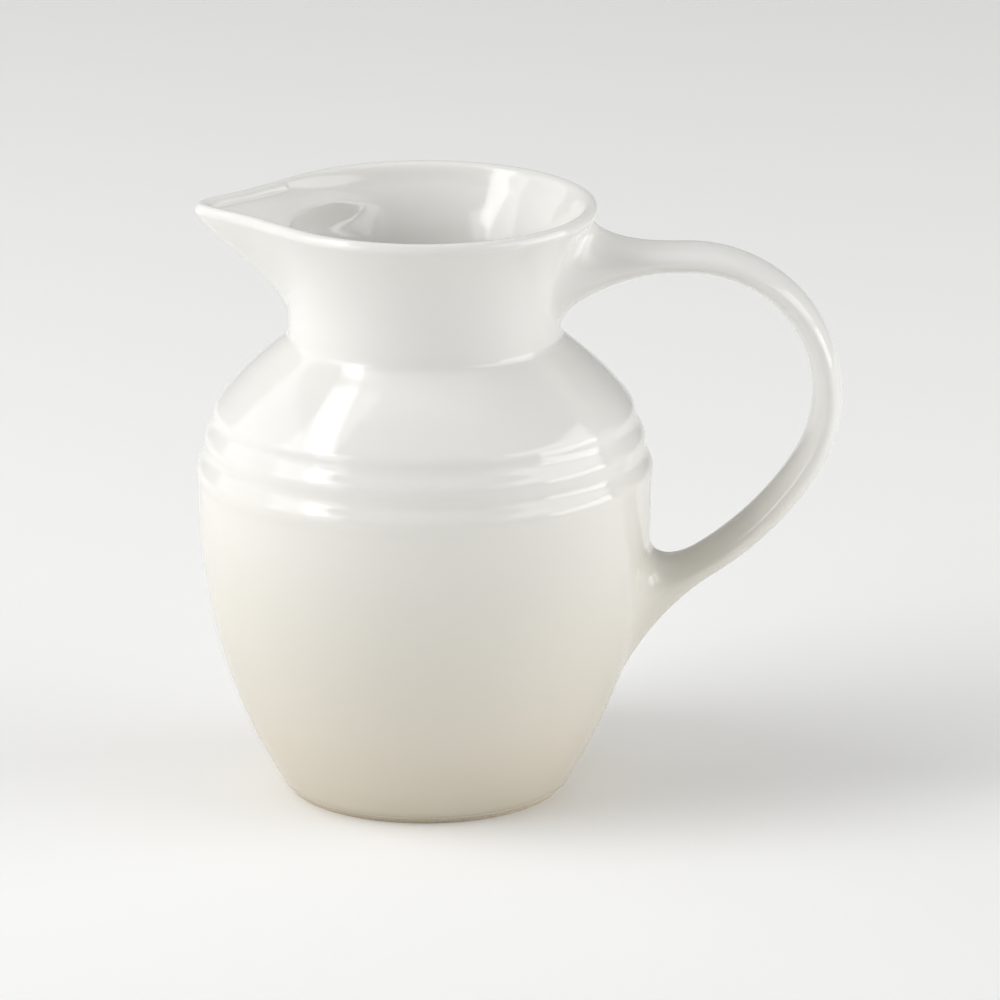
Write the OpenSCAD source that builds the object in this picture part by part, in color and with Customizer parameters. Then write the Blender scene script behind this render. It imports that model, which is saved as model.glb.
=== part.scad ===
// Ceramic pitcher: a round-bellied milk jug of glazed stoneware with three turned grooves on
// its shoulder, a trumpet neck with a pulled spout, and a strap handle luted on at both ends.
// Millimetres. Z is up, the origin is on the jug's axis where it stands, the spout points
// to -X and the handle to +X.

/* [Belly] */
// Radius of the belly where it meets the foot ring
base_r = 31.5; // [28:0.1:36]
// Radius at the widest line of the smooth belly
belly_r = 50.4; // [45:0.1:58]
// Height of the widest line above the table
belly_z = 66; // [58:0.5:69]
// Thickness of the wall all over
wall = 3.3; // [2.6:0.1:4.2]
// Thickness of the floor
floor_t = 5; // [4:0.1:7]

/* [Foot ring] */
// Width of the bare ring that the jug stands on
foot_w = 4; // [2:0.1:6]
// Height of the foot ring
foot_h = 1; // [0.6:0.1:2]

/* [Shoulder] */
// Radius of the turn from the belly into the shoulder
turn_r = 48; // [42:0.5:60]
// Height of the lowest groove
low_groove_z = 71.5; // [70:0.1:74]
// Height of the middle groove
mid_groove_z = 79.8; // [77:0.1:82]
// Height of the top groove
top_groove_z = 86.5; // [84.5:0.1:88]
// How far the ribs between the grooves stand proud
rib_h = 0.9; // [0.4:0.1:1.4]
// Radius of the shoulder's own arc
shoulder_r = 87; // [60:1:120]
// Height of the seam between the shoulder and the neck
seam_z = 104.5; // [100:0.5:107]

/* [Neck] */
// Outer radius of the straight part of the neck
neck_r = 30.2; // [26:0.1:36]
// Height where the neck starts to flare
flare_z = 110; // [107:0.5:116]
// Outer radius of the rim
rim_r = 38.4; // [35:0.1:46]
// Overall height, to the crest of the rim
height = 134.5; // [124:0.5:162]

/* [Spout] */
// Reach of the spout's tip from the axis
spout_reach = 50.7; // [46:0.1:61]
// Height where the keel of the spout leaves the neck
spout_z = 108.6; // [107:0.1:114]
// Depth of the pouring channel below the crest of the rim
channel_depth = 5.5; // [4.5:0.1:7]

/* [Handle] */
// Width of the strap
strap_w = 15; // [12:0.1:18]
// Thickness of the strap
strap_t = 6.4; // [5.4:0.1:8]
// How many times larger the strap is at its lower end
strap_swell = 1.09; // [1:0.01:1.15]
// Radius of the loop along the middle of the strap
loop_r = 31; // [28:0.1:38]
// Distance of the loop's centre from the jug's axis
loop_x = 58.5; // [54:0.1:62]
// Height of the loop's centre
loop_z = 90.8; // [84:0.1:94]
// Radius of the long lower run of the strap
run_r = 70; // [60:1:90]
// Height on the neck of the upper root's middle
upper_root_z = 118.5; // [117:0.1:121]
// Height on the belly of the lower root's middle
lower_root_z = 40; // [36:0.5:43]

/* [Hidden] */

$fn = 128;
GLAZE_WHITE = "#eceae4";
GLAZE_CREAM = "#e2dccb";
BARE_CLAY = "#cfc3ae";

// ---------- arcs ----------
function lerp(a, b, t) = a + (b - a) * t;
function steps(n) = [for (i = [0:n]) i / n];
// radius at height z of an arc that bulges outwards from a centre [r, z]
function bulge(c, rad, z) = c.x + sqrt(rad * rad - pow(z - c.y, 2));
// radius of the arc that is upright at one point and passes another, dr and dz away
function arc_rad(dr, dz) = (dr * dr + dz * dz) / (2 * dr);
// centre, on the side nearer the foot, of an arc of radius rad through p and q
function arc_centre(p, q, rad) =
    let (d = q - p, l = norm(d), k = sqrt(rad * rad - l * l / 4) / l)
    (p + q) / 2 + k * [d.y, -d.x] * (d.y > 0 ? -1 : 1);

// ---------- outline of the belly and the shoulder ----------
belly_arc = arc_rad(belly_r - base_r, belly_z - foot_h);
belly_c = [belly_r - belly_arc, belly_z];
turn_z = belly_z + 2;
turn_c = [belly_r - turn_r, turn_z];
groove_z = [low_groove_z, mid_groove_z, top_groove_z];
function groove_point(i) = [bulge(turn_c, turn_r, groove_z[i]), groove_z[i]];
top_bank = groove_point(2) + [0.3, 1.5];    // where the shoulder starts, above the top groove
seam_r = neck_r + 0.6;
shoulder_c = arc_centre(top_bank, [seam_r, seam_z], shoulder_r);

belly_line = [for (t = steps(24)) let (z = lerp(foot_h, low_groove_z, t))
    [z < belly_z ? bulge(belly_c, belly_arc, z) : bulge(turn_c, turn_r, max(z, turn_z)), z]];
function rib_line(i) = [for (t = [1:8])
    lerp(groove_point(i), groove_point(i + 1), t / 8) + [rib_h * sin(180 * t / 8), 0]];
shoulder_line = [for (t = steps(14)) let (z = lerp(top_bank.y, seam_z, t))
    [bulge(shoulder_c, shoulder_r, z), z]];
outer_line = concat(belly_line, rib_line(0), rib_line(1), shoulder_line);

// ---------- the hollow inside ----------
throat_r = neck_r - wall;
function inner_r(z) = min(bulge(belly_c, belly_arc - wall, z),
                          bulge(turn_c, turn_r - wall, min(max(z, turn_z), turn_z + turn_r / 2)),
                          bulge(shoulder_c, shoulder_r - wall, max(z, shoulder_c.y)));
cove = 6;                        // rounding between the floor and the wall
inner_line = [for (t = steps(30)) let (z = lerp(floor_t + cove, seam_z, t))
    [max(throat_r, inner_r(z)), z]];
cove_line = [for (t = steps(6)) let (a = 90 * t)
    [inner_r(floor_t + cove) - cove * (1 - cos(a)), floor_t + cove * (1 - sin(a))]];

module body_outline() {
    polygon(concat(
        [[0, foot_h]],
        outer_line,
        [for (i = [len(inner_line) - 1:-1:0]) inner_line[i]],
        [for (i = [1:len(cove_line) - 1]) cove_line[i]],
        [[0, floor_t]]));
}

// everything inside the outer face of the belly and shoulder, for trimming what is luted on
module body_envelope() {
    rotate_extrude() polygon(concat([[0, foot_h]], outer_line, [[0, seam_z]]));
}

// ---------- the neck, its rim and its spout ----------
AROUND = 96;                     // points in each ring
lip_t = wall - 0.3;              // thickness of the rim just under its rounded crest
lip_z = height - lip_t / 2;      // height where the crest's rounding starts
flare_dr = rim_r - neck_r;
flare_dz = lip_z - flare_z;
flare_rad = arc_rad(flare_dr, flare_dz);
function neck_outer(z) = z < flare_z
    ? neck_r + (seam_r - neck_r) * pow(1 - (z - seam_z) / (flare_z - seam_z), 4)
    : neck_r + flare_rad - sqrt(pow(flare_rad, 2) - pow(z - flare_z, 2));
function neck_inner(z) = neck_outer(max(z, flare_z))
                         - lerp(wall, lip_t, (z - seam_z) / (lip_z - seam_z));

// how far the spout's keel, and its channel inside, stand out past the round neck at height z
function keel_out(z) =
    let (t = max(0, (z - spout_z) / (lip_z - spout_z)))
    max(0, lerp(neck_r, spout_reach, 2.2 * t * t - 1.2 * t * t * t) - neck_outer(z));
channel_z = height - channel_depth;
function channel_out(z) =
    let (t = max(0, (z - channel_z + 3) / (lip_z - channel_z + 3)))
    (spout_reach - rim_r) * pow(t, 1.6);

// radius at angle a of a round of radius r drawn out into a soft point, out past it, at 180 degrees
nose = 8;                        // half angle of the rounded nose
pinch = 6;                       // how quickly the cheeks run straight again behind the nose
function drawn_round(r, out, a) = out < 0.01 ? r :
    let (off = min(abs(a - 180), 180), soft = sqrt(off * off + nose * nose),
         half = acos(r / (r + out)), tip = (r + out) / r * cos(half - min(nose, half)))
    soft >= half ? r
        : r / cos(half - soft) * (1 + (tip - 1) * pow(1 - (soft - nose) / (half - nose), pinch));
function ring(r, out, z) = [for (i = [0:AROUND - 1])
    let (a = 360 * i / AROUND, q = drawn_round(r, out, a)) [q * cos(a), q * sin(a), z]];

outer_z = concat([seam_z, seam_z + 0.6, seam_z + 1.4, seam_z + 3],
                 [for (t = steps(12)) lerp(flare_z, lip_z, t)]);
inner_z = concat([for (t = steps(8)) lerp(lip_z, channel_z - 3, t)],
                 [for (t = steps(5)) if (t > 0) lerp(channel_z - 3, seam_z, t)]);
lip_angles = [for (t = [1:5]) 180 * t / 6];
neck_rings = concat(
    [for (z = outer_z) ring(neck_outer(z), keel_out(z), z)],
    [for (a = lip_angles) let (in = (1 - cos(a)) / 2)
        ring(lerp(rim_r, rim_r - lip_t, in), spout_reach - rim_r, lip_z + lip_t / 2 * sin(a))],
    [for (z = inner_z) ring(neck_inner(z), channel_out(z), z)]);

// a solid of rings joined one to the next, and the last to the first
module ring_loft(rings) {
    n = len(rings[0]);
    m = len(rings);
    polyhedron(
        points = [for (r = rings) each r],
        faces = [for (j = [0:m - 1], i = [0:n - 1])
            let (k = (j + 1) % m, l = (i + 1) % n)
            each [[j * n + i, k * n + i, k * n + l], [j * n + i, k * n + l, j * n + l]]],
        convexity = 8);
}

module neck_envelope() {
    rotate_extrude()
        polygon(concat([[0, seam_z]], [for (z = outer_z) [neck_outer(z), z]], [[0, lip_z]]));
}

// ---------- the handle ----------
STRAP_SIDES = 28;
upper_end = [loop_x - 4, loop_z + loop_r];
loop_c = [loop_x, loop_z];
loop_turn = 122;                 // angle that the loop turns through before the long run
run_turn = 26;
function on_arc(c, r, a) = c + r * [sin(a), cos(a)];
loop_end = on_arc(loop_c, loop_r, loop_turn);
run_c = loop_end - run_r * [sin(loop_turn), cos(loop_turn)];
route = concat(
    [for (t = steps(3)) if (t < 1) lerp(upper_end, on_arc(loop_c, loop_r, 0), t)],
    [for (t = steps(22)) on_arc(loop_c, loop_r, loop_turn * t)],
    [for (t = steps(5)) if (t > 0) on_arc(run_c, run_r, loop_turn + run_turn * t)]);
lower_end = route[len(route) - 1];

function unit(v) = v / norm(v);
function heading(p, i) = unit(p[min(i + 1, len(p) - 1)] - p[max(i - 1, 0)]);
// an oval across the strap: c is its middle and u its direction of thickness, both in XZ
function oval(c, u, half_t, half_w) = [for (i = [0:STRAP_SIDES - 1]) let (a = 360 * i / STRAP_SIDES,
    p = c + half_t * cos(a) * u) [p.x, half_w * sin(a), p.y]];
// the strap swells towards its lower end: how far along point i is, and its size there
function strap_along(i) = min(1, max(0, (i / (len(route) - 1) - 0.25) / 0.6));
function strap_grow(i) = lerp(1, strap_swell, pow(strap_along(i), 2) * (3 - 2 * strap_along(i)));
function strap_half(i) = strap_grow(i) * strap_t / 2;

// a solid of ovals with both ends closed
module capped_loft(rings) {
    n = len(rings[0]);
    m = len(rings);
    polyhedron(
        points = [for (r = rings) each r],
        faces = concat(
            [[for (i = [0:n - 1]) i]],
            [for (j = [0:m - 2], i = [0:n - 1])
                let (k = j + 1, l = (i + 1) % n)
                each [[j * n + i, k * n + i, k * n + l], [j * n + i, k * n + l, j * n + l]]],
            [[for (i = [n - 1:-1:0]) (m - 1) * n + i]]),
        convexity = 6);
}

// clay smoothed from the strap's end, point i of its route, out to the wall: the ovals turn and
// swell on the way
module root(end, end_dir, i, foot, foot_u, foot_half_t, foot_half_w) {
    reach = norm(foot - end);
    knee = end + end_dir * reach * 0.5;
    rings = [for (t = steps(9)) let (
        c = (1 - t) * (1 - t) * end + 2 * t * (1 - t) * knee + t * t * foot,
        u = unit(lerp([-end_dir.y, end_dir.x] * -1, foot_u, t)))
        oval(c, u, lerp(strap_half(i), foot_half_t, t * t),
             lerp(strap_grow(i) * strap_w / 2, foot_half_w, t * t))];
    capped_loft(rings);
}

// ---------- the pieces ----------
module foot_ring() {
    chamfer = 0.6;
    color(BARE_CLAY) rotate_extrude()
        polygon([[base_r - chamfer - foot_w, 0], [base_r - 2 * chamfer, 0], [base_r - chamfer, foot_h],
                 [base_r - chamfer - foot_w, foot_h]]);
}

module body() {
    color(GLAZE_CREAM) rotate_extrude() body_outline();
}

module neck() {
    color(GLAZE_WHITE) ring_loft(neck_rings);
}

module handle() {
    color(GLAZE_WHITE) capped_loft([for (i = [0:len(route) - 1]) let (h = heading(route, i))
        oval(route[i], [-h.y, h.x], strap_half(i), strap_grow(i) * strap_w / 2)]);
}

module upper_handle_joint() {
    color(GLAZE_WHITE) difference() {
        root(upper_end, -heading(route, 0), 0, [neck_r - 1, upper_root_z], [0, 1], 11.5, 12);
        neck_envelope();
    }
}

module lower_handle_joint() {
    color(GLAZE_CREAM) difference() {
        root(lower_end, heading(route, len(route) - 1), len(route) - 1,
             [bulge(belly_c, belly_arc, lower_root_z) - 2.5, lower_root_z], [0.2, 0.98], 18, 15);
        body_envelope();
    }
}

foot_ring();
body();
neck();
handle();
upper_handle_joint();
lower_handle_joint();
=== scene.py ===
import math

import bpy
import numpy as np
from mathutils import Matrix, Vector


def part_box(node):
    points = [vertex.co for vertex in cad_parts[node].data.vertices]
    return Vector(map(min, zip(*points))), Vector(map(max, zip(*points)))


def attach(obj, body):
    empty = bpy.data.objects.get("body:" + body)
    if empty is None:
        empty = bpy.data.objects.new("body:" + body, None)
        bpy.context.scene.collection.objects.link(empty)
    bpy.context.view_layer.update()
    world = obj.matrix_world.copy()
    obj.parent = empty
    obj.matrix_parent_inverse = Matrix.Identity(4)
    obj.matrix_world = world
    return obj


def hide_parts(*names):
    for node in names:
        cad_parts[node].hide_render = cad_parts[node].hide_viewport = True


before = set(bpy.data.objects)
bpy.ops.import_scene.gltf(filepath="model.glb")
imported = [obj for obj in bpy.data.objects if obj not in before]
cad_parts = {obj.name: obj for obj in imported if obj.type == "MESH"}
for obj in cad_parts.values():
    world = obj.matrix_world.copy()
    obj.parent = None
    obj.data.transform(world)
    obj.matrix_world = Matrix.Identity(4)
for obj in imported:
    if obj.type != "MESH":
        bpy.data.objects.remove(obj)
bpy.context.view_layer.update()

# ---------------------------------------------------------------- belly and shoulder
# The belly is thrown stoneware, turned true and glazed all over but for its foot. Three soft
# grooves are pressed round the shoulder with a rib, and the clay between them stands proud.
# Sizes are in millimetres here, and become metres when a mesh is made.
MM = 0.001
belly_box = [[v / MM for v in corner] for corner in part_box("body")]
FOOT_H = belly_box[0][2]
SEAM_Z = belly_box[1][2]
BASE_R = 31.5
BELLY_R = 50.4
BELLY_Z = 66.0
NECK_R = 30.2
WALL = 3.3
FLOOR_T = 5.0
# degrees the wall leans in from upright at each height, up the ribs, the shoulder and the neck
RIBS_TOP_Z = 89.6
FLARE_Z = 110.0
WALL_LEAN = [
    (66.0, 0), (70.4, -2), (72.5, -9), (76.8, 31), (80.1, -4), (83.6, 32), (86.9, 9), (RIBS_TOP_Z, 37.5),
    (92.5, 42), (97.0, 47), (101.5, 50.5), (103.2, 49), (105.6, 5), (106.6, 0), (FLARE_Z, 0),
]


def eased(values, at):
    """Reads a list of (place, value) pairs with a smooth ease from each pair to the next."""
    places = np.array([p for p, _ in values], float)
    levels = np.array([v for _, v in values], float)
    i = np.clip(np.searchsorted(places, at, side="right") - 1, 0, len(places) - 2)
    t = np.clip((at - places[i]) / (places[i + 1] - places[i]), 0, 1)
    return levels[i] + (levels[i + 1] - levels[i]) * t * t * (3 - 2 * t)


def arc_radius(dr, dz):
    """Radius of the arc that is upright at one point and passes another, dr and dz away."""
    return (dr * dr + dz * dz) / (2 * dr)


def turned_wall(step=0.05):
    """Heights and radii of the outer face, from the foot to the straight part of the neck."""
    z = np.arange(FOOT_H, FLARE_Z + step, step)
    rad = arc_radius(BELLY_R - BASE_R, BELLY_Z - FOOT_H)
    low = BELLY_R - rad + np.sqrt(rad ** 2 - (np.minimum(z, BELLY_Z) - BELLY_Z) ** 2)
    slope = np.where(z > BELLY_Z, np.tan(np.radians(eased(WALL_LEAN, z))), 0)
    fall = np.cumsum(slope) * step
    miss = fall[-1] - (BELLY_R - NECK_R)    # spread over the shoulder, so the neck comes out true
    return z, low - fall + miss * np.clip((z - RIBS_TOP_Z) / (SEAM_Z - RIBS_TOP_Z), 0, 1)


wall_z, wall_r = turned_wall()
broad_r = np.convolve(np.pad(wall_r, 90, mode="edge"), np.ones(181) / 181, mode="same")[90:-90]
broad_lean = np.gradient(broad_r, wall_z)


def outer_r(z):
    return np.interp(z, wall_z, wall_r)


def inner_r(z):
    """The hollow follows the wall's broad shape, but not its ribs."""
    return np.interp(z, wall_z, broad_r - WALL * np.sqrt(1 + np.minimum(broad_lean ** 2, 1.2)))


def belly_outline():
    """The wall's section, as (radius, height) points, from the middle underneath round to the floor."""
    edge = 0.7
    out = [(0, FOOT_H), (BASE_R - 6, FOOT_H), (BASE_R - 2.5, FOOT_H)]
    for a in np.radians(np.arange(0, 91, 15)):
        out.append((BASE_R - edge + edge * math.sin(a), FOOT_H + edge - edge * math.cos(a)))
    fine = np.concatenate([np.arange(FOOT_H + 1.2, 64, 1.3), np.arange(64, 91, 0.2),
                           np.arange(91, 101, 0.6), np.arange(101, SEAM_Z, 0.2), [SEAM_Z]])
    out += [(float(outer_r(z)), float(z)) for z in fine]
    throat = NECK_R - WALL
    cove = 7.0
    inside = np.concatenate([np.linspace(SEAM_Z, 88, 30), np.linspace(86, FLOOR_T + cove, 40)])
    out += [(max(throat, float(inner_r(z))), float(z)) for z in inside]
    wide = float(inner_r(FLOOR_T + cove))
    for a in np.radians(np.arange(10, 91, 10)):
        out.append((wide - cove * (1 - math.cos(a)), FLOOR_T + cove * (1 - math.sin(a))))
    out += [(wide * s, FLOOR_T) for s in (0.6, 0.3, 0)]
    return out


def link(tree, node, socket, value):
    """Sets one input of a node, or joins another node's output to it."""
    spot = node.inputs[socket]
    if isinstance(value, bpy.types.NodeSocket):
        tree.links.new(value, spot)
    else:
        spot.default_value = value


def add(tree, kind, inputs=None, **settings):
    """Adds a node with its settings, then its inputs: values, or other nodes' outputs."""
    node = tree.nodes.new(kind)
    for name, value in settings.items():
        setattr(node, name, value)
    for socket, value in (inputs or {}).items():
        link(tree, node, socket, value)
    return node


def line_object(name, points, closed=False):
    """A plain curve through the points, which a node tree then turns into clay."""
    data = bpy.data.curves.new(name, "CURVE")
    data.dimensions = "3D"
    spline = data.splines.new("POLY")
    spline.points.add(len(points) - 1)
    for point, place in zip(spline.points, points):
        point.co = (*[c * MM for c in place], 1)
    spline.use_cyclic_u = closed
    obj = bpy.data.objects.new(name, data)
    bpy.context.scene.collection.objects.link(obj)
    return obj


def lathe_tree(material):
    """Turns an outline about the Z axis, as a wheel does."""
    tree = bpy.data.node_groups.new("throwing_wheel", "GeometryNodeTree")
    face = tree.interface
    face.new_socket("Outline", in_out="INPUT", socket_type="NodeSocketGeometry")
    face.new_socket("Steps Round", in_out="INPUT", socket_type="NodeSocketInt")
    face.new_socket("Wheel Radius", in_out="INPUT", socket_type="NodeSocketFloat")
    face.new_socket("Clay", in_out="OUTPUT", socket_type="NodeSocketGeometry")
    given = add(tree, "NodeGroupInput").outputs
    wheel = add(tree, "GeometryNodeCurvePrimitiveCircle",
                {"Resolution": given["Steps Round"], "Radius": given["Wheel Radius"]})
    swept = add(tree, "GeometryNodeCurveToMesh",
                {"Curve": wheel.outputs["Curve"], "Profile Curve": given["Outline"]})
    closed = add(tree, "GeometryNodeMergeByDistance", {"Geometry": swept.outputs[0], "Distance": 2e-6})
    smooth = add(tree, "GeometryNodeSetShadeSmooth", {"Geometry": closed.outputs[0]})
    real = add(tree, "GeometryNodeRealizeInstances", {"Geometry": smooth.outputs[0]})
    dressed = add(tree, "GeometryNodeSetMaterial", {"Geometry": real.outputs[0], "Material": material})
    add(tree, "NodeGroupOutput", {"Clay": dressed.outputs[0]})
    return tree


def faced_outward(mesh):
    """Turns the faces about if the solid they enclose comes out negative."""
    mesh.calc_loop_triangles()
    spots = np.array([v.co[:] for v in mesh.vertices])
    tris = spots[np.array([t.vertices[:] for t in mesh.loop_triangles])]
    if np.einsum("ij,ij->i", tris[:, 0], np.cross(tris[:, 1], tris[:, 2])).sum() < 0:
        mesh.flip_normals()


def made_solid(name, source, tree, **inputs):
    """Runs a node tree on a curve and keeps the result as a plain mesh."""
    modifier = source.modifiers.new(tree.name, "NODES")
    modifier.node_group = tree
    names = {s.name: s.identifier for s in tree.interface.items_tree if s.in_out == "INPUT"}
    for key, value in inputs.items():
        modifier[names[key.replace("_", " ")]] = value
    ready = source.evaluated_get(bpy.context.evaluated_depsgraph_get())
    mesh = bpy.data.meshes.new_from_object(ready)
    mesh.name = name
    faced_outward(mesh)
    bpy.data.objects.remove(source)
    piece = bpy.data.objects.new(name, mesh)
    bpy.context.scene.collection.objects.link(piece)
    return piece


def hex_colour(code):
    """An sRGB hex colour as linear red, green, blue and alpha."""
    parts = [int(code[i:i + 2], 16) / 255 for i in (1, 3, 5)]
    return [c / 12.92 if c <= 0.04045 else ((c + 0.055) / 1.055) ** 2.4 for c in parts] + [1.0]


def material_tree(name):
    material = bpy.data.materials.new(name)
    material.use_nodes = True
    tree = material.node_tree
    tree.nodes.clear()
    return material, tree


def glazed_stoneware():
    """Stoneware under a clear-gloss opaque glaze, sprayed white from above over a cream dip.
    The white thins out below the ribs, so the cream shows through towards the foot. The colour
    also darkens towards the foot as painted shade, for the lower belly that gets less light.
    The glaze has the soft sheen of fired glass, IOR 1.5, and lies in very slight waves about 9 mm apart."""
    material, tree = material_tree("glazed_stoneware")
    place = add(tree, "ShaderNodeTexCoord").outputs["Object"]
    height = add(tree, "ShaderNodeSeparateXYZ", {"Vector": place}).outputs["Z"]
    drift = add(tree, "ShaderNodeTexNoise", {"Vector": place, "Scale": 28.0, "Detail": 2.0})
    wander = add(tree, "ShaderNodeMath", {0: drift.outputs["Fac"], 1: 0.5}, operation="SUBTRACT")
    shifted = add(tree, "ShaderNodeMath", {0: wander.outputs[0], 1: 0.006, 2: height},
                  operation="MULTIPLY_ADD")
    scaled = add(tree, "ShaderNodeMapRange", {"Value": shifted.outputs[0], "From Min": 0.0,
                                              "From Max": 0.135})
    ramp = add(tree, "ShaderNodeValToRGB", {"Fac": scaled.outputs["Result"]})
    # The stops darken from near white above the ribs to cream at the foot. This is partly the glaze's
    # own cream and partly painted shade for the lower belly, which gets less light.
    cream_and_shade_stops = [(0.0, "#d0c7b6"), (0.16, "#dad4c6"), (0.34, "#e1ddd3"),
             (0.52, "#e7e5de"), (0.62, "#e9e8e4")]
    band = ramp.color_ramp.elements
    for i, (at, code) in enumerate(cream_and_shade_stops):
        stop = band[i] if i < 2 else band.new(at)
        stop.position = at
        stop.color = hex_colour(code)
    waves = add(tree, "ShaderNodeTexNoise", {"Vector": place, "Scale": 110.0, "Detail": 1.0})
    bump = add(tree, "ShaderNodeBump", {"Height": waves.outputs["Fac"], "Strength": 0.02,
                                        "Distance": 0.001})
    gloss = add(tree, "ShaderNodeBsdfPrincipled", {
        "Base Color": ramp.outputs["Color"], "Roughness": 0.09, "IOR": 1.5,
        "Normal": bump.outputs["Normal"]})
    add(tree, "ShaderNodeOutputMaterial", {"Surface": gloss.outputs[0]})
    return material


glaze = glazed_stoneware()


def corner_normals(mesh):
    values = np.empty(len(mesh.loops) * 3, np.float32)
    mesh.corner_normals.foreach_get("vector", values)
    return values.reshape(-1, 3)


def join_smoothly(piece, chosen, normal_of):
    """Gives the vertices where two pieces of one glazed surface meet the normal of that surface,
    so that the light runs on across the joint. The faces hidden inside the clay keep their own."""
    mesh = piece.data
    spots = np.array([v.co[:] for v in mesh.vertices])
    picked = chosen(spots)
    normals = corner_normals(mesh)
    sides = [p.loop_total for p in mesh.polygons]
    faces = np.repeat(np.array([p.normal[:] for p in mesh.polygons]), sides, axis=0)
    corners = np.array([loop.vertex_index for loop in mesh.loops])
    wanted = normal_of(spots[corners])
    use = picked[corners] & ((faces * wanted).sum(1) > 0.6)
    normals[use] = wanted[use]
    mesh.normals_split_custom_set([tuple(n) for n in normals])


ROUND_STEPS = 288
WHEEL_R = 20.0
outline = line_object("outline", [(r - WHEEL_R, -z, 0) for r, z in belly_outline()])
belly = made_solid("belly_and_shoulder", outline, lathe_tree(glaze),
                   Steps_Round=ROUND_STEPS, Wheel_Radius=WHEEL_R * MM)
belly.data.set_sharp_from_angle(angle=math.radians(40))


def seam_ring(spots):
    """Picks the outer ring of the joint between the shoulder and the neck."""
    level = abs(spots[:, 2] - SEAM_Z * MM) < 1e-6
    return level & (np.hypot(spots[:, 0], spots[:, 1]) > (NECK_R - 1) * MM)


def seam_normal(spots):
    lean = math.radians(float(eased(WALL_LEAN, np.array([SEAM_Z]))[0]))
    away = spots[:, :2] / np.hypot(spots[:, 0], spots[:, 1])[:, None]
    return np.column_stack([away * math.cos(lean), np.full(len(spots), math.sin(lean))])


join_smoothly(belly, seam_ring, seam_normal)
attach(belly, "root")
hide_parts("body")

# ---------------------------------------------------------------- foot ring
# The ring of the turned foot that the jug stands on. It is wiped clean of glaze before the kiln,
# so it is bare fired stoneware, dry and gritty.
foot_box = [[v / MM for v in corner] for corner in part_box("foot_ring")]
FOOT_W = 4.0


def bare_stoneware():
    """Fired clay with no glaze: matt, with grog specks about half a millimetre across."""
    material, tree = material_tree("bare_stoneware")
    place = add(tree, "ShaderNodeTexCoord").outputs["Object"]
    grit = add(tree, "ShaderNodeTexNoise", {"Vector": place, "Scale": 1900.0, "Detail": 3.0})
    specks = add(tree, "ShaderNodeValToRGB", {"Fac": grit.outputs["Fac"]})
    for stop, at, code in zip(specks.color_ramp.elements, (0.3, 0.62), ("#bdb098", "#d3c9b5")):
        stop.position = at
        stop.color = hex_colour(code)
    rough = add(tree, "ShaderNodeBump", {"Height": grit.outputs["Fac"], "Strength": 0.35,
                                         "Distance": 0.0003})
    dry = add(tree, "ShaderNodeBsdfPrincipled", {
        "Base Color": specks.outputs["Color"], "Roughness": 0.85, "Normal": rough.outputs["Normal"]})
    add(tree, "ShaderNodeOutputMaterial", {"Surface": dry.outputs[0]})
    return material


def foot_outline():
    wide, tall, round_over = foot_box[1][0], foot_box[1][2], 0.35
    inner = wide - FOOT_W
    low_wide = wide - 0.5
    points = [(inner, tall), (inner, round_over)]
    points += [(inner + round_over * (1 - math.cos(a)), round_over * (1 - math.sin(a)))
               for a in np.radians((30, 60, 90))]
    points += [(low_wide - round_over * (1 - math.sin(a)), round_over * (1 - math.cos(a)))
               for a in np.radians((0, 30, 60))]
    return points + [(low_wide, round_over), (wide, tall)]


foot_line = line_object("foot_outline", [(r - WHEEL_R, -z, 0) for r, z in foot_outline()], closed=True)
foot = made_solid("bare_foot_ring", foot_line, lathe_tree(bare_stoneware()),
                  Steps_Round=ROUND_STEPS, Wheel_Radius=WHEEL_R * MM)
foot.data.set_sharp_from_angle(angle=math.radians(40))
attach(foot, "root")
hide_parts("foot_ring")

# ---------------------------------------------------------------- neck, rim and spout
# The collar rises from a crisp corner at the shoulder and flares like a trumpet to a rolled rim.
# While the clay is soft the spout is drawn out of it: straight cheeks run from the round of the
# neck to a narrow nose, and the channel inside is shallow, with a soft sill above the throat.
neck_box = [[v / MM for v in corner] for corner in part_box("neck")]
HEIGHT = neck_box[1][2]
REACH = -neck_box[0][0]
RIM_R = 38.4
LIP_Z = HEIGHT - 2.0    # where the rounding of the rim starts outside
CREST_IN = 1.4          # the crest stands this far in from the rim's outer edge
CHANNEL_Z = HEIGHT - 1.5
RIM_ROLL = 3.0          # the rim rolls over into the neck this much deeper at the back than at the spout
KEEL_FOOT_Z = 108.6
KEEL_LIFT = 2.2         # how early the keel swings out as it rises
SILL_Z = 128.0
CHANNEL_WALL = 4.0      # thickness of the spout behind its nose
SILL_R = 30.0           # the throat runs straight up to the sill at this radius
SILL_HALF = math.radians(75)    # how far round from the spout the sill runs
NOSE = math.radians(8)  # half angle of the rounded nose, seen from above
NOSE_PINCH = 6          # how quickly the cheeks run straight again behind the nose


def smooth(t):
    t = np.clip(t, 0, 1)
    return t * t * (3 - 2 * t)


def neck_outer(z):
    rad = arc_radius(RIM_R - NECK_R, LIP_Z - FLARE_Z)
    flare = NECK_R + rad - np.sqrt(rad ** 2 - (np.maximum(z, FLARE_Z) - FLARE_Z) ** 2)
    return np.where(z < FLARE_Z, outer_r(z), flare)


def neck_inner(z):
    return neck_outer(np.clip(z, FLARE_Z, LIP_Z)) - WALL


def keel_out(z):
    """How far the keel of the spout stands out past the round neck."""
    t = np.clip((z - KEEL_FOOT_Z) / (LIP_Z - KEEL_FOOT_Z), 0, 1)
    swept = NECK_R + (REACH - NECK_R) * (KEEL_LIFT * t ** 2 - (KEEL_LIFT - 1) * t ** 3)
    return np.maximum(swept - neck_outer(z), 1e-4)


def channel_out(z):
    """How far the channel's floor has run out past the round inside."""
    full = REACH - CHANNEL_WALL - RIM_R + WALL
    return full * smooth(np.clip((z - SILL_Z) / (CHANNEL_Z - SILL_Z), 0, 1) ** 0.85)


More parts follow.
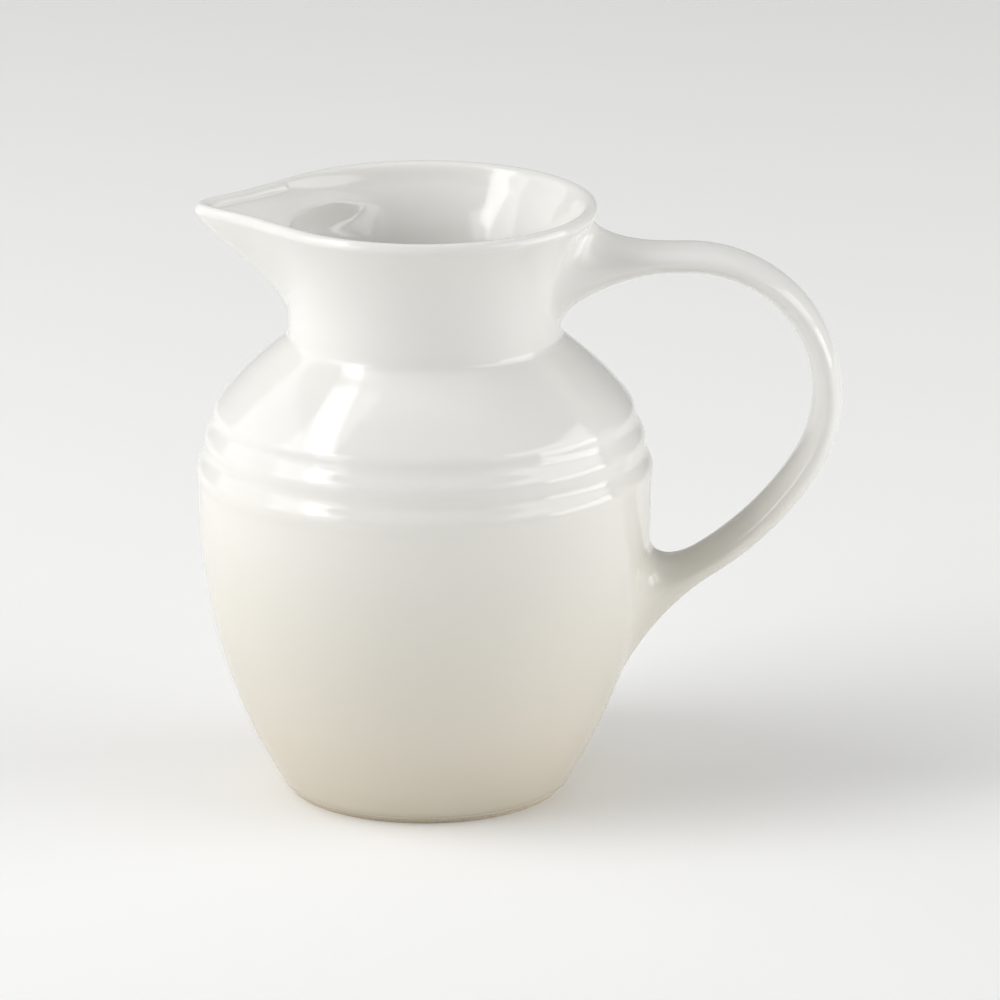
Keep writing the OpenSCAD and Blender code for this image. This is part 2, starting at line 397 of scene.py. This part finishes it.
def drawn_round(r, out, turn):
    """Radius at angle turn of a round drawn out into a point, out past it, at half a turn."""
    off = np.abs(turn - math.pi)
    half = np.arccos(r / (r + out))
    soft = np.sqrt(off ** 2 + NOSE ** 2)
    spread = np.maximum(half - NOSE, 1e-6)
    tip = (r + out) / r * np.cos(spread)
    near = np.clip(1 - (soft - NOSE) / spread, 0, 1) ** NOSE_PINCH
    cheek = r / np.cos(np.clip(half - soft, 0, None)) * (1 + (tip - 1) * near)
    return np.where(soft < half, cheek, r)


def sill_in(z, turn):
    """How far the throat stands in under the channel, up to a soft ridge that dips at its ends."""
    off = np.abs(turn - math.pi)
    reach = smooth((SILL_HALF - off) / math.radians(25))
    above = z - SILL_Z - 0.6 + 2.6 * smooth((off - math.radians(45)) / math.radians(25))
    stand = np.logaddexp(0, (neck_inner(z) - SILL_R) * 3) / 3
    return stand * reach * smooth((2.4 - above) / 2.4)


def ring_points(rho, z, turn):
    return np.column_stack([rho * np.cos(turn), rho * np.sin(turn), np.broadcast_to(z, rho.shape)])


def lofted(name, rings, material, caps=False, sharp=50):
    """A closed solid of rings joined one to the next: round to the first again, or capped."""
    rings = np.array(rings)
    rows, cols, _ = rings.shape
    spots = rings.reshape(-1, 3) * MM
    quads = []
    for j in range(rows - 1 if caps else rows):
        k = (j + 1) % rows
        for i in range(cols):
            l = (i + 1) % cols
            quads.append((j * cols + i, j * cols + l, k * cols + l, k * cols + i))
    if caps:
        spots = np.vstack([spots, rings[0].mean(0) * MM, rings[-1].mean(0) * MM])
        first, last = len(spots) - 2, len(spots) - 1
        top = (rows - 1) * cols
        for i in range(cols):
            l = (i + 1) % cols
            quads.append((first, l, i))
            quads.append((last, top + i, top + l))
    mesh = bpy.data.meshes.new(name)
    mesh.from_pydata([tuple(p) for p in spots], [], quads)
    mesh.materials.append(material)
    faced_outward(mesh)
    mesh.shade_smooth()
    mesh.set_sharp_from_angle(angle=math.radians(sharp))
    piece = bpy.data.objects.new(name, mesh)
    bpy.context.scene.collection.objects.link(piece)
    return piece


def inside(z, turn):
    return drawn_round(neck_inner(z), channel_out(z), turn) - sill_in(z, turn)


def neck_rings():
    steps = np.arange(288) / 288 * 2 * math.pi
    turn = steps + 0.62 * np.sin(steps)        # steps gather at the spout
    outer = np.concatenate([np.arange(SEAM_Z, 107, 0.2), np.arange(107, LIP_Z, 0.5), [LIP_Z]])
    rings = [ring_points(drawn_round(neck_outer(z), keel_out(z), turn), z, turn) for z in outer]
    edge = drawn_round(neck_outer(LIP_Z), keel_out(LIP_Z), turn)
    crest = drawn_round(RIM_R - CREST_IN, keel_out(LIP_Z), turn)
    for a in np.radians(np.arange(10, 91, 10)):
        rings.append(ring_points(crest + (edge - crest) * math.cos(a),
                                 LIP_Z + (HEIGHT - LIP_Z) * math.sin(a), turn))
    off = np.abs(turn - math.pi)
    roll_z = CHANNEL_Z - RIM_ROLL * smooth((off - math.radians(20)) / math.radians(45))
    roll = inside(roll_z, turn)
    rise = (inside(roll_z + 0.05, turn) - inside(roll_z - 0.05, turn)) / 0.1
    drop = HEIGHT - roll_z
    for t in np.linspace(0, 1, 15)[1:-1]:
        over = [(1 - t) ** 3, 3 * t * (1 - t) ** 2, 3 * t * t * (1 - t), t ** 3]
        rho = ((over[0] + over[1]) * crest + over[1] * 0.55 * (roll - crest)
               + (over[2] + over[3]) * roll + over[2] * 0.5 * drop * rise)
        rings.append(ring_points(rho, HEIGHT - over[2] * 0.5 * drop - over[3] * drop, turn))
    low_z = SILL_Z - 2.0
    for t in np.linspace(0, 1, 54):
        z = roll_z + (low_z - roll_z) * t
        rings.append(ring_points(inside(z, turn), z, turn))
    for z in np.linspace(low_z, SEAM_Z, 40)[1:]:
        rings.append(ring_points(inside(np.full(len(turn), z), turn), z, turn))
    return rings


neck = lofted("neck_and_spout", neck_rings(), glaze, sharp=80)
join_smoothly(neck, seam_ring, seam_normal)
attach(neck, "root")
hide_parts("neck")

# ---------------------------------------------------------------- handle strap
# One strap of pulled clay, oval across, a little thicker towards its lower end. It leaves the
# neck level, turns in one round loop and runs back to the belly in a long easy curve.
STRAP_W = 15.0
LOOP_R = 31.0
LOOP_X = 58.5
LOOP_Z = 90.8
LOOP_TURN = 122.0
RUN_R = 70.0
RUN_TURN = 26.0
STRAP_START_X = LOOP_X - 4
START_HALF_T = 3.2
END_GROWTH = 1.09       # the strap is this many times larger at its lower end
GROWTH_FROM = 0.25      # the share of its length where it starts to grow
GROWTH_TO = 0.85        # and where it stops
SECTION_SIDES = 72


def on_arc(centre, rad, degrees):
    a = math.radians(degrees)
    return (centre[0] + rad * math.sin(a), centre[1] + rad * math.cos(a))


def strap_route():
    """The middle of the strap, as (x, z) points: a level start, the loop, then the long run."""
    loop_c = (LOOP_X, LOOP_Z)
    loop_end = on_arc(loop_c, LOOP_R, LOOP_TURN)
    run_c = on_arc(loop_end, -RUN_R, LOOP_TURN)
    level = [(x, LOOP_Z + LOOP_R) for x in np.linspace(STRAP_START_X, LOOP_X, 6)[:-1]]
    loop = [on_arc(loop_c, LOOP_R, a) for a in np.linspace(0, LOOP_TURN, 96)]
    run = [on_arc(run_c, RUN_R, a) for a in np.linspace(LOOP_TURN, LOOP_TURN + RUN_TURN, 30)[1:]]
    return level + loop + run


def strap_tree(material):
    """Pulls an oval along a route, growing evenly towards the far end."""
    tree = bpy.data.node_groups.new("pulled_strap", "GeometryNodeTree")
    face = tree.interface
    face.new_socket("Route", in_out="INPUT", socket_type="NodeSocketGeometry")
    face.new_socket("Half Width", in_out="INPUT", socket_type="NodeSocketFloat")
    face.new_socket("Half Thickness", in_out="INPUT", socket_type="NodeSocketFloat")
    face.new_socket("End Growth", in_out="INPUT", socket_type="NodeSocketFloat")
    face.new_socket("Sides", in_out="INPUT", socket_type="NodeSocketInt")
    face.new_socket("Strap", in_out="OUTPUT", socket_type="NodeSocketGeometry")
    given = add(tree, "NodeGroupInput").outputs
    level = add(tree, "GeometryNodeSetCurveNormal", {
        "Curve": given["Route"], "Normal": (0, 1, 0)}, mode="FREE")
    along = add(tree, "GeometryNodeSplineParameter").outputs["Factor"]
    growth = add(tree, "ShaderNodeMapRange", {
        "Value": along, "From Min": GROWTH_FROM, "From Max": GROWTH_TO, "To Min": 1.0,
        "To Max": given["End Growth"]}, interpolation_type="SMOOTHSTEP")
    circle = add(tree, "GeometryNodeCurvePrimitiveCircle", {"Resolution": given["Sides"], "Radius": 1.0})
    size = add(tree, "ShaderNodeCombineXYZ", {
        "X": given["Half Width"], "Y": given["Half Thickness"], "Z": 1.0})
    oval = add(tree, "GeometryNodeTransform", {"Geometry": circle.outputs[0], "Scale": size.outputs[0]})
    swept = add(tree, "GeometryNodeCurveToMesh", {
        "Curve": level.outputs[0], "Profile Curve": oval.outputs[0], "Scale": growth.outputs[0],
        "Fill Caps": True})
    even = add(tree, "GeometryNodeSetShadeSmooth", {"Geometry": swept.outputs[0]})
    real = add(tree, "GeometryNodeRealizeInstances", {"Geometry": even.outputs[0]})
    dressed = add(tree, "GeometryNodeSetMaterial", {"Geometry": real.outputs[0], "Material": material})
    add(tree, "NodeGroupOutput", {"Strap": dressed.outputs[0]})
    return tree


route = strap_route()
strap = made_solid("strap_handle", line_object("route", [(x, 0, z) for x, z in route]),
                   strap_tree(glaze),
                   Half_Width=STRAP_W / 2 * MM, Half_Thickness=START_HALF_T * MM, End_Growth=END_GROWTH,
                   Sides=SECTION_SIDES)
strap.data.set_sharp_from_angle(angle=math.radians(50))
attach(strap, "root")
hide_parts("handle")


class Oval:
    """A section across the strap: its middle, the way the strap runs on, and its half sizes."""

    def __init__(self, middle, onward, half_t, half_w):
        self.middle = np.array([middle[0], 0, middle[1]])
        self.onward = np.array([onward[0], 0, onward[1]])
        self.up = np.array([-onward[1], 0, onward[0]])
        if self.up[2] < 0:
            self.up = -self.up
        self.half_t, self.half_w = half_t, half_w

    def point(self, a):
        across = np.array([0, self.half_w * math.sin(a), 0])
        return self.middle + self.up * self.half_t * math.cos(a) + across

    def normal(self, spots):
        """Normal of the oval at places on it, given in metres."""
        rel = spots / MM - self.middle
        n = (np.outer(rel @ self.up / self.half_t ** 2, self.up)
             + np.outer(rel[:, 1] / self.half_w ** 2, [0, 1, 0]))
        return n / np.linalg.norm(n, axis=1)[:, None]

    def holds(self, spots):
        rel = spots / MM - self.middle
        return (abs(rel @ self.onward) < 1e-3) & (np.linalg.norm(rel, axis=1) > 0.5)


first = np.array(route[0])
last = np.array(route[-1])
run_on = (last - np.array(route[-2])) / np.linalg.norm(last - np.array(route[-2]))
top_end = Oval(first, (-1, 0), START_HALF_T, STRAP_W / 2)
low_end = Oval(last, run_on, START_HALF_T * END_GROWTH, STRAP_W / 2 * END_GROWTH)


def wall_point(profile, turn_length, z):
    """A place on a turned wall, turn_length round from the handle's side, with its two directions."""
    r = float(profile(np.array([z]))[0])
    rise = float(profile(np.array([z + 0.1]))[0] - profile(np.array([z - 0.1]))[0]) / 0.2
    turn = turn_length / r
    place = np.array([r * math.cos(turn), r * math.sin(turn), z])
    up = np.array([rise * math.cos(turn), rise * math.sin(turn), 1]) / math.hypot(rise, 1)
    around = np.array([-math.sin(turn), math.cos(turn), 0])
    return place, up, around


def luted_root(name, end, profile, footprint, leave, arrive):
    """Clay smoothed from the end of the strap out onto the wall. It leaves the strap along its run
    and lies down onto the wall edge to edge, and goes on just under the wall's face."""
    steps = [2 * math.pi * i / SECTION_SIDES for i in range(SECTION_SIDES)]
    lines = []
    for a in steps:
        across, z, mid_z = footprint(a)
        foot_at, up, around = wall_point(profile, across, z)
        outward = up * (z - mid_z) + around * across
        outward = outward / np.linalg.norm(outward)
        start = end.point(a)
        p1 = start + end.onward * leave(a)
        p2 = foot_at - outward * arrive(a)
        inward = np.cross(up, around)
        inward = inward * -np.sign(inward @ np.array([foot_at[0], foot_at[1], 0]))
        line = []
        for t in np.linspace(0, 1, 30):
            line.append((1 - t) ** 3 * start + 3 * t * (1 - t) ** 2 * p1
                        + 3 * t * t * (1 - t) * p2 + t ** 3 * foot_at)
        line.append(foot_at + inward * 0.7 - outward * 0.3)
        lines.append(line)
    rings = np.array(lines).transpose(1, 0, 2)
    return lofted(name, rings, glaze, caps=True)


# ---------------------------------------------------------------- upper root of the handle
# The strap's upper end, pressed onto the neck under the rim and smoothed in with slip. It grips
# the neck from the corner at its foot nearly up to the rim.
UPPER_TOP_Z = 131.6
UPPER_LOW_Z = 106.2
UPPER_HALF_W = 15.0


def upper_footprint(a):
    middle = (UPPER_TOP_Z + UPPER_LOW_Z) / 2
    half = (UPPER_TOP_Z - UPPER_LOW_Z) / 2
    return UPPER_HALF_W * math.sin(a), middle + half * math.cos(a), middle


upper_root = luted_root("upper_root", top_end, neck_outer, upper_footprint,
                        leave=lambda a: 10.5 + 1.5 * math.cos(a),
                        arrive=lambda a: 4.5 - 1.5 * math.cos(a))
join_smoothly(strap, lambda s: top_end.holds(s), top_end.normal)
join_smoothly(upper_root, lambda s: top_end.holds(s), top_end.normal)
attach(upper_root, "root")
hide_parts("upper_handle_joint")

# ---------------------------------------------------------------- lower root of the handle
# The strap's lower end, spread onto the belly with the thumb. Its upper edge is a tight cove and
# its tail is drawn down the belly until it fades out.
LOWER_TOP_Z = 58.4
LOWER_LOW_Z = 22.1
LOWER_HALF_W = 15.0


def lower_footprint(a):
    middle = (LOWER_TOP_Z + LOWER_LOW_Z) / 2
    half = (LOWER_TOP_Z - LOWER_LOW_Z) / 2
    return LOWER_HALF_W * math.sin(a) * (1 + 0.3 * math.cos(a)), middle + half * math.cos(a), middle


lower_root = luted_root("lower_root", low_end, outer_r, lower_footprint,
                        leave=lambda a: 7.25 - 1.55 * math.cos(a),
                        arrive=lambda a: 9.2 - 2.9 * math.cos(a))
join_smoothly(strap, lambda s: low_end.holds(s), low_end.normal)
join_smoothly(lower_root, lambda s: low_end.holds(s), low_end.normal)
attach(lower_root, "root")
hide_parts("lower_handle_joint")

# ---------------------------------------------------------------- table, light and camera
# A plain white sweep, soft boxes of light on both sides and above, and a long lens.


def plain_white():
    material, tree = material_tree("white_paper")
    matt = add(tree, "ShaderNodeBsdfPrincipled", {"Base Color": hex_colour("#f8f8f7"), "Roughness": 0.9,
                                                  "Specular IOR Level": 0.1})
    add(tree, "ShaderNodeOutputMaterial", {"Surface": matt.outputs[0]})
    return material


def sweep():
    """The floor runs back and curves up behind, so no horizon shows."""
    half, back, rise, bend = 6.0, 2.6, 4.0, 0.8
    line = [(-3.0, 0.0), (back, 0.0)]
    for a in np.radians(np.arange(10, 91, 10)):
        line.append((back + bend * math.sin(a), bend - bend * math.cos(a)))
    line.append((back + bend, rise))
    spots = [(x, y, z) for y, z in line for x in (-half, half)]
    quads = [(2 * i, 2 * i + 1, 2 * i + 3, 2 * i + 2) for i in range(len(line) - 1)]
    mesh = bpy.data.meshes.new("white_sweep")
    mesh.from_pydata(spots, [], quads)
    mesh.materials.append(plain_white())
    mesh.shade_smooth()
    floor = bpy.data.objects.new("white_sweep", mesh)
    bpy.context.scene.collection.objects.link(floor)
    return floor


sweep()


def soft_box(name, place, facing, size, power, roll=0):
    """A soft box: where its middle hangs, the point it faces, its width and height, its watts
    and how many degrees it is rolled over."""
    data = bpy.data.lights.new(name, "AREA")
    data.shape = "RECTANGLE"
    data.size, data.size_y = size
    data.energy = power
    box = bpy.data.objects.new(name, data)
    box.location = place
    box.rotation_euler = (box.location - Vector(facing)).to_track_quat("Z", "Y").to_euler()
    box.rotation_euler.rotate_axis("Z", math.radians(roll))
    bpy.context.scene.collection.objects.link(box)
    return box


soft_box("tall_strip", (-0.86, -0.12, 1.04), (-0.27, 0.63, 0.74), (0.6, 1.5), 5)
soft_box("narrow_strip", (-0.89, -0.28, 1.0), (-0.03, 0, 0.09), (0.3, 1.2), 4, roll=38)
soft_box("left_screen", (-1.6, 0.1, 0.75), (0, 0, 0.1), (2.4, 1.4), 10.5)
soft_box("left_front", (-1.25, -0.95, 0.6), (0, 0, 0.07), (0.5, 1.0), 3.4)
soft_box("right_box", (1.28, -0.23, 0.82), (0, 0, 0.07), (1.6, 0.5), 4.5)
soft_box("right_soft", (1.45, -0.5, 0.75), (0, 0, 0.07), (2.2, 0.9), 5)
soft_box("right_low", (1.58, -0.14, 0.3), (0, 0, 0.07), (1.2, 0.5), 6.5)
soft_box("overhead", (0, 0.3, 1.7), (0, 0, 0), (1.4, 1.4), 2.5)
world = bpy.data.worlds.new("studio")
bpy.context.scene.world = world
world.use_nodes = True
world.node_tree.nodes["Background"].inputs["Color"].default_value = hex_colour("#f2f2f2")
world.node_tree.nodes["Background"].inputs["Strength"].default_value = 0.3

lens = bpy.data.cameras.new("long_lens")
lens.sensor_width = 36
lens.lens = 323
lens.clip_end = 50
camera = bpy.data.objects.new("camera", lens)
CAMERA_TILT = math.radians(16.35)
look_at = Vector((0.0167, 0.0, 0.0658))
camera.location = Vector((0, -2 * math.cos(CAMERA_TILT), 0.0675 + 2 * math.sin(CAMERA_TILT)))
camera.rotation_euler = (look_at - camera.location).to_track_quat("-Z", "Y").to_euler()
bpy.context.scene.collection.objects.link(camera)
bpy.context.scene.camera = camera
bpy.context.scene.view_settings.view_transform = "Standard"
